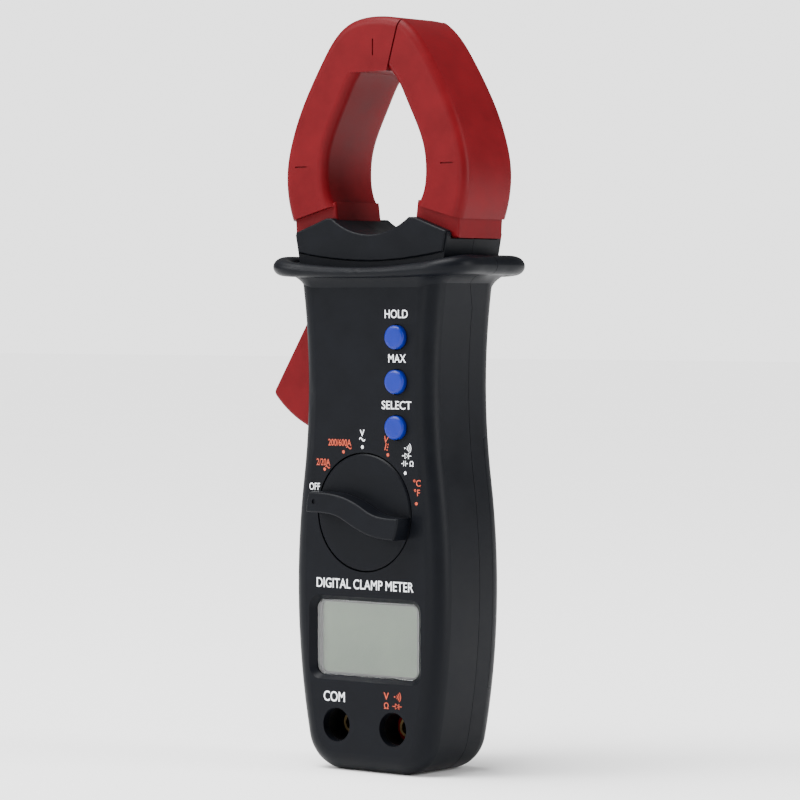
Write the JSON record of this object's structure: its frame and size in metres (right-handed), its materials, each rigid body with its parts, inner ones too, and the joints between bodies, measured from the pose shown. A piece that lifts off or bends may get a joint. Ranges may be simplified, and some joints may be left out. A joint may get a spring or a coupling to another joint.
{
  "type": "clamp meter",
  "caption": "Hand-held digital clamp meter: two hinged current-sensing jaws, hand guard, trigger, rotary selector, push buttons, display and plug sockets.",
  "frame": {"origin": "centre of the small flat on the bottom end of the handle", "axes": "+Z along the meter from the handle end to the jaws, -Y out of the display side, +X to the right of a viewer who faces the display"},
  "size_m": [0.07, 0.0386, 0.2],
  "materials": {
    "case_black": "fine matt texture",
    "jaw_red": "satin",
    "button_blue": "satin",
    "lens_clear": "polished",
    "display_green": "smooth",
    "socket_black": "smooth",
    "socket_red": "smooth",
    "brass": "bright",
    "steel": "plain",
    "core_steel": "laminated",
    "copper": "enamelled winding",
    "white_plastic": "smooth",
    "nylon_grey": "smooth",
    "board_green": "solder mask",
    "chip_black": "smooth",
    "rubber_pink": "smooth",
    "cell_jacket": "satin"
  },
  "bodies": {
    "root": {"battery_cells": "cell_jacket", "battery_plates": "steel", "battery_springs": "steel", "board_posts": "nylon_grey", "buzzer": "chip_black", "case_screws": "steel", "com_contact": "brass", "com_socket": "socket_black", "front_shell": "case_black", "jaw_spring": "steel", "lcd_frame": "white_plastic", "lcd_glass": "display_green", "lcd_lens": "lens_clear", "main_board": "board_green", "meter_chip": "chip_black", "pivot_pins": "steel", "pivot_plate": "steel", "ptc_thermistor": "rubber_pink", "quartz_can": "steel", "rear_shell": "case_black", "selector_tracks": "brass", "tact_switches": "chip_black", "volt_contact": "brass", "volt_socket": "socket_red", "zebra_strips": "rubber_pink"},
    "left_jaw": {"left_jaw_front": "jaw_red", "left_jaw_rear": "jaw_red", "left_core": "core_steel", "left_bobbin": "white_plastic", "left_coil": "copper", "left_jaw_arm": "nylon_grey", "trigger": "jaw_red"},
    "right_jaw": {"right_jaw_front": "jaw_red", "right_jaw_rear": "jaw_red", "right_core": "core_steel", "right_bobbin": "white_plastic", "right_coil": "copper", "right_jaw_arm": "nylon_grey"},
    "selector": {"selector_knob": "case_black", "contact_carrier": "white_plastic", "wiper_contacts": "brass", "selector_retainer": "steel", "detent_balls": "steel", "detent_springs": "steel"},
    "hold_key": {"hold_button": "button_blue"},
    "max_key": {"max_button": "button_blue"},
    "select_key": {"select_button": "button_blue"},
    "cover": {"battery_cover": "case_black", "battery_cover_screw": "steel"}
  },
  "joints": [
    {"name": "left_jaw_open", "type": "hinge", "parent": "root", "child": "left_jaw", "pos_m": [-0.013, 0, 0.12], "axis": [0, -1, 0], "range_deg": [0, 12], "stiffness_Nm_per_rad": 1.2, "deforming": ["jaw_spring"]},
    {"name": "right_jaw_open", "type": "hinge", "parent": "root", "child": "right_jaw", "pos_m": [0.013, 0, 0.12], "axis": [0, -1, 0], "range_deg": [-12, 0]},
    {"name": "selector_turn", "type": "hinge", "parent": "root", "child": "selector", "pos_m": [0, 0, 0.069], "axis": [0, 1, 0], "range_deg": [0, 154]},
    {"name": "hold_press", "type": "slide", "parent": "root", "child": "hold_key", "axis": [0, 1, 0], "range_m": [0, 0.0005], "stiffness_N_per_m": 800},
    {"name": "max_press", "type": "slide", "parent": "root", "child": "max_key", "axis": [0, 1, 0], "range_m": [0, 0.0005], "stiffness_N_per_m": 800},
    {"name": "select_press", "type": "slide", "parent": "root", "child": "select_key", "axis": [0, 1, 0], "range_m": [0, 0.0005], "stiffness_N_per_m": 800},
    {"name": "battery_cover_off", "type": "slide", "parent": "root", "child": "cover", "axis": [0, 1, 0], "range_m": [0, 0.03]}
  ],
  "couplings": [
    {"joint": "right_jaw_open", "follows": "left_jaw_open", "ratio": -1}
  ]
}
